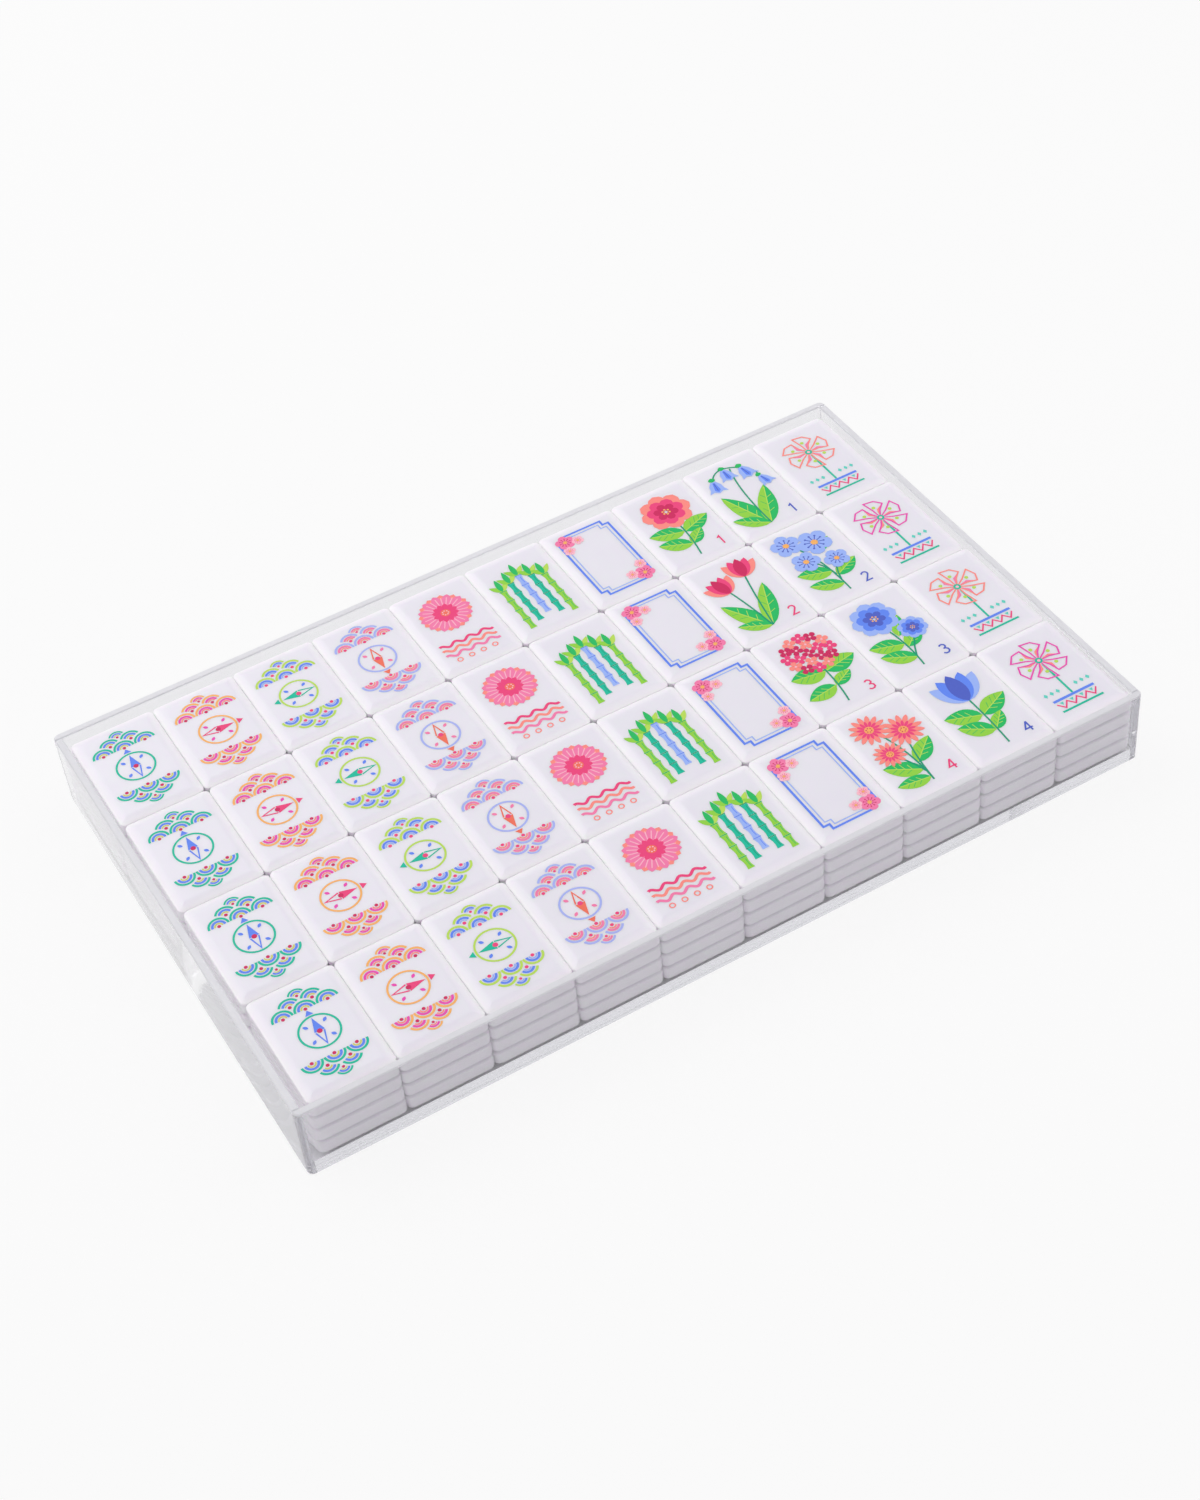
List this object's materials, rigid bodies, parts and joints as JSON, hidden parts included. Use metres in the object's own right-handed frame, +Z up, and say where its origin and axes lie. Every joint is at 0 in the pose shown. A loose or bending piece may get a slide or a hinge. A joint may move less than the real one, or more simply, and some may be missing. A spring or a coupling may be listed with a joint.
{
  "type": "tray of mahjong tiles",
  "caption": "Open clear acrylic tray packed with loose white mahjong tiles with rolled edges, stacked in layers; each tile lifts straight out.",
  "frame": {"origin": "centre of the tray's underside, on the surface that it stands on", "axes": "+Z up, +X along the tray's long side to the right as the tiles read, +Y towards the back of the tray"},
  "size_m": [0.2056, 0.1262, 0.0192],
  "materials": {
    "clear_acrylic": "clear, polished",
    "tile": "satin gloss, printed face"
  },
  "bodies": {
    "tray": {"base_panel": "clear_acrylic", "front_wall": "clear_acrylic", "back_wall": "clear_acrylic", "left_wall": "clear_acrylic", "right_wall": "clear_acrylic"},
    "under_tiles_1": {"under_tiles_1": "tile"},
    "under_tiles_2": {"under_tiles_2": "tile"},
    "under_tiles_3": {"under_tiles_3": "tile"},
    "under_tiles_4": {"under_tiles_4": "tile"},
    "under_tiles_5": {"under_tiles_5": "tile"},
    "under_tiles_6": {"under_tiles_6": "tile"},
    "under_tiles_7": {"under_tiles_7": "tile"},
    "under_tiles_8": {"under_tiles_8": "tile"},
    "under_tiles_9": {"under_tiles_9": "tile"},
    "under_tiles_10": {"under_tiles_10": "tile"},
    "north_wind_1": {"north_wind_1": "tile"},
    "north_wind_2": {"north_wind_2": "tile"},
    "north_wind_3": {"north_wind_3": "tile"},
    "north_wind_4": {"north_wind_4": "tile"},
    "east_wind_1": {"east_wind_1": "tile"},
    "east_wind_2": {"east_wind_2": "tile"},
    "east_wind_3": {"east_wind_3": "tile"},
    "east_wind_4": {"east_wind_4": "tile"},
    "west_wind_1": {"west_wind_1": "tile"},
    "west_wind_2": {"west_wind_2": "tile"},
    "west_wind_3": {"west_wind_3": "tile"},
    "west_wind_4": {"west_wind_4": "tile"},
    "south_wind_1": {"south_wind_1": "tile"},
    "south_wind_2": {"south_wind_2": "tile"},
    "south_wind_3": {"south_wind_3": "tile"},
    "south_wind_4": {"south_wind_4": "tile"},
    "red_dragon_1": {"red_dragon_1": "tile"},
    "red_dragon_2": {"red_dragon_2": "tile"},
    "red_dragon_3": {"red_dragon_3": "tile"},
    "red_dragon_4": {"red_dragon_4": "tile"},
    "green_dragon_1": {"green_dragon_1": "tile"},
    "green_dragon_2": {"green_dragon_2": "tile"},
    "green_dragon_3": {"green_dragon_3": "tile"},
    "green_dragon_4": {"green_dragon_4": "tile"},
    "white_dragon_1": {"white_dragon_1": "tile"},
    "white_dragon_2": {"white_dragon_2": "tile"},
    "white_dragon_3": {"white_dragon_3": "tile"},
    "white_dragon_4": {"white_dragon_4": "tile"},
    "red_flower_1": {"red_flower_1": "tile"},
    "red_flower_2": {"red_flower_2": "tile"},
    "red_flower_3": {"red_flower_3": "tile"},
    "red_flower_4": {"red_flower_4": "tile"},
    "blue_flower_1": {"blue_flower_1": "tile"},
    "blue_flower_2": {"blue_flower_2": "tile"},
    "blue_flower_3": {"blue_flower_3": "tile"},
    "blue_flower_4": {"blue_flower_4": "tile"},
    "joker_1": {"joker_1": "tile"},
    "joker_2": {"joker_2": "tile"},
    "joker_3": {"joker_3": "tile"},
    "joker_4": {"joker_4": "tile"}
  },
  "joints": [
    {"name": "under_tiles_1_lift", "type": "slide", "parent": "tray", "child": "under_tiles_1", "axis": [0, 0, 1], "range_m": [0, 0.03]},
    {"name": "under_tiles_2_lift", "type": "slide", "parent": "tray", "child": "under_tiles_2", "axis": [0, 0, 1], "range_m": [0, 0.03]},
    {"name": "under_tiles_3_lift", "type": "slide", "parent": "tray", "child": "under_tiles_3", "axis": [0, 0, 1], "range_m": [0, 0.03]},
    {"name": "under_tiles_4_lift", "type": "slide", "parent": "tray", "child": "under_tiles_4", "axis": [0, 0, 1], "range_m": [0, 0.03]},
    {"name": "under_tiles_5_lift", "type": "slide", "parent": "tray", "child": "under_tiles_5", "axis": [0, 0, 1], "range_m": [0, 0.03]},
    {"name": "under_tiles_6_lift", "type": "slide", "parent": "tray", "child": "under_tiles_6", "axis": [0, 0, 1], "range_m": [0, 0.03]},
    {"name": "under_tiles_7_lift", "type": "slide", "parent": "tray", "child": "under_tiles_7", "axis": [0, 0, 1], "range_m": [0, 0.03]},
    {"name": "under_tiles_8_lift", "type": "slide", "parent": "tray", "child": "under_tiles_8", "axis": [0, 0, 1], "range_m": [0, 0.03]},
    {"name": "under_tiles_9_lift", "type": "slide", "parent": "tray", "child": "under_tiles_9", "axis": [0, 0, 1], "range_m": [0, 0.03]},
    {"name": "under_tiles_10_lift", "type": "slide", "parent": "tray", "child": "under_tiles_10", "axis": [0, 0, 1], "range_m": [0, 0.03]},
    {"name": "north_wind_4_lift", "type": "slide", "parent": "under_tiles_1", "child": "north_wind_4", "axis": [0, 0, 1], "range_m": [0, 0.03]},
    {"name": "east_wind_4_lift", "type": "slide", "parent": "under_tiles_2", "child": "east_wind_4", "axis": [0, 0, 1], "range_m": [0, 0.03]},
    {"name": "west_wind_4_lift", "type": "slide", "parent": "under_tiles_3", "child": "west_wind_4", "axis": [0, 0, 1], "range_m": [0, 0.03]},
    {"name": "south_wind_4_lift", "type": "slide", "parent": "under_tiles_4", "child": "south_wind_4", "axis": [0, 0, 1], "range_m": [0, 0.03]},
    {"name": "red_dragon_4_lift", "type": "slide", "parent": "under_tiles_5", "child": "red_dragon_4", "axis": [0, 0, 1], "range_m": [0, 0.03]},
    {"name": "green_dragon_4_lift", "type": "slide", "parent": "under_tiles_6", "child": "green_dragon_4", "axis": [0, 0, 1], "range_m": [0, 0.03]},
    {"name": "white_dragon_4_lift", "type": "slide", "parent": "under_tiles_7", "child": "white_dragon_4", "axis": [0, 0, 1], "range_m": [0, 0.03]},
    {"name": "red_flower_4_lift", "type": "slide", "parent": "under_tiles_8", "child": "red_flower_4", "axis": [0, 0, 1], "range_m": [0, 0.03]},
    {"name": "blue_flower_4_lift", "type": "slide", "parent": "under_tiles_9", "child": "blue_flower_4", "axis": [0, 0, 1], "range_m": [0, 0.03]},
    {"name": "joker_4_lift", "type": "slide", "parent": "under_tiles_10", "child": "joker_4", "axis": [0, 0, 1], "range_m": [0, 0.03]},
    {"name": "north_wind_1_lift", "type": "slide", "parent": "under_tiles_1", "child": "north_wind_1", "axis": [0, 0, 1], "range_m": [0, 0.03]},
    {"name": "east_wind_1_lift", "type": "slide", "parent": "under_tiles_2", "child": "east_wind_1", "axis": [0, 0, 1], "range_m": [0, 0.03]},
    {"name": "west_wind_1_lift", "type": "slide", "parent": "under_tiles_3", "child": "west_wind_1", "axis": [0, 0, 1], "range_m": [0, 0.03]},
    {"name": "south_wind_1_lift", "type": "slide", "parent": "under_tiles_4", "child": "south_wind_1", "axis": [0, 0, 1], "range_m": [0, 0.03]},
    {"name": "red_dragon_1_lift", "type": "slide", "parent": "under_tiles_5", "child": "red_dragon_1", "axis": [0, 0, 1], "range_m": [0, 0.03]},
    {"name": "green_dragon_1_lift", "type": "slide", "parent": "under_tiles_6", "child": "green_dragon_1", "axis": [0, 0, 1], "range_m": [0, 0.03]},
    {"name": "white_dragon_1_lift", "type": "slide", "parent": "under_tiles_7", "child": "white_dragon_1", "axis": [0, 0, 1], "range_m": [0, 0.03]},
    {"name": "red_flower_1_lift", "type": "slide", "parent": "under_tiles_8", "child": "red_flower_1", "axis": [0, 0, 1], "range_m": [0, 0.03]},
    {"name": "blue_flower_1_lift", "type": "slide", "parent": "under_tiles_9", "child": "blue_flower_1", "axis": [0, 0, 1], "range_m": [0, 0.03]},
    {"name": "joker_1_lift", "type": "slide", "parent": "under_tiles_10", "child": "joker_1", "axis": [0, 0, 1], "range_m": [0, 0.03]},
    {"name": "north_wind_2_lift", "type": "slide", "parent": "under_tiles_1", "child": "north_wind_2", "axis": [0, 0, 1], "range_m": [0, 0.03]},
    {"name": "east_wind_2_lift", "type": "slide", "parent": "under_tiles_2", "child": "east_wind_2", "axis": [0, 0, 1], "range_m": [0, 0.03]},
    {"name": "west_wind_2_lift", "type": "slide", "parent": "under_tiles_3", "child": "west_wind_2", "axis": [0, 0, 1], "range_m": [0, 0.03]},
    {"name": "south_wind_2_lift", "type": "slide", "parent": "under_tiles_4", "child": "south_wind_2", "axis": [0, 0, 1], "range_m": [0, 0.03]},
    {"name": "red_dragon_2_lift", "type": "slide", "parent": "under_tiles_5", "child": "red_dragon_2", "axis": [0, 0, 1], "range_m": [0, 0.03]},
    {"name": "green_dragon_2_lift", "type": "slide", "parent": "under_tiles_6", "child": "green_dragon_2", "axis": [0, 0, 1], "range_m": [0, 0.03]},
    {"name": "white_dragon_2_lift", "type": "slide", "parent": "under_tiles_7", "child": "white_dragon_2", "axis": [0, 0, 1], "range_m": [0, 0.03]},
    {"name": "red_flower_2_lift", "type": "slide", "parent": "under_tiles_8", "child": "red_flower_2", "axis": [0, 0, 1], "range_m": [0, 0.03]},
    {"name": "blue_flower_2_lift", "type": "slide", "parent": "under_tiles_9", "child": "blue_flower_2", "axis": [0, 0, 1], "range_m": [0, 0.03]},
    {"name": "joker_2_lift", "type": "slide", "parent": "under_tiles_10", "child": "joker_2", "axis": [0, 0, 1], "range_m": [0, 0.03]},
    {"name": "north_wind_3_lift", "type": "slide", "parent": "under_tiles_1", "child": "north_wind_3", "axis": [0, 0, 1], "range_m": [0, 0.03]},
    {"name": "east_wind_3_lift", "type": "slide", "parent": "under_tiles_2", "child": "east_wind_3", "axis": [0, 0, 1], "range_m": [0, 0.03]},
    {"name": "west_wind_3_lift", "type": "slide", "parent": "under_tiles_3", "child": "west_wind_3", "axis": [0, 0, 1], "range_m": [0, 0.03]},
    {"name": "south_wind_3_lift", "type": "slide", "parent": "under_tiles_4", "child": "south_wind_3", "axis": [0, 0, 1], "range_m": [0, 0.03]},
    {"name": "red_dragon_3_lift", "type": "slide", "parent": "under_tiles_5", "child": "red_dragon_3", "axis": [0, 0, 1], "range_m": [0, 0.03]},
    {"name": "green_dragon_3_lift", "type": "slide", "parent": "under_tiles_6", "child": "green_dragon_3", "axis": [0, 0, 1], "range_m": [0, 0.03]},
    {"name": "white_dragon_3_lift", "type": "slide", "parent": "under_tiles_7", "child": "white_dragon_3", "axis": [0, 0, 1], "range_m": [0, 0.03]},
    {"name": "red_flower_3_lift", "type": "slide", "parent": "under_tiles_8", "child": "red_flower_3", "axis": [0, 0, 1], "range_m": [0, 0.03]},
    {"name": "blue_flower_3_lift", "type": "slide", "parent": "under_tiles_9", "child": "blue_flower_3", "axis": [0, 0, 1], "range_m": [0, 0.03]},
    {"name": "joker_3_lift", "type": "slide", "parent": "under_tiles_10", "child": "joker_3", "axis": [0, 0, 1], "range_m": [0, 0.03]}
  ]
}
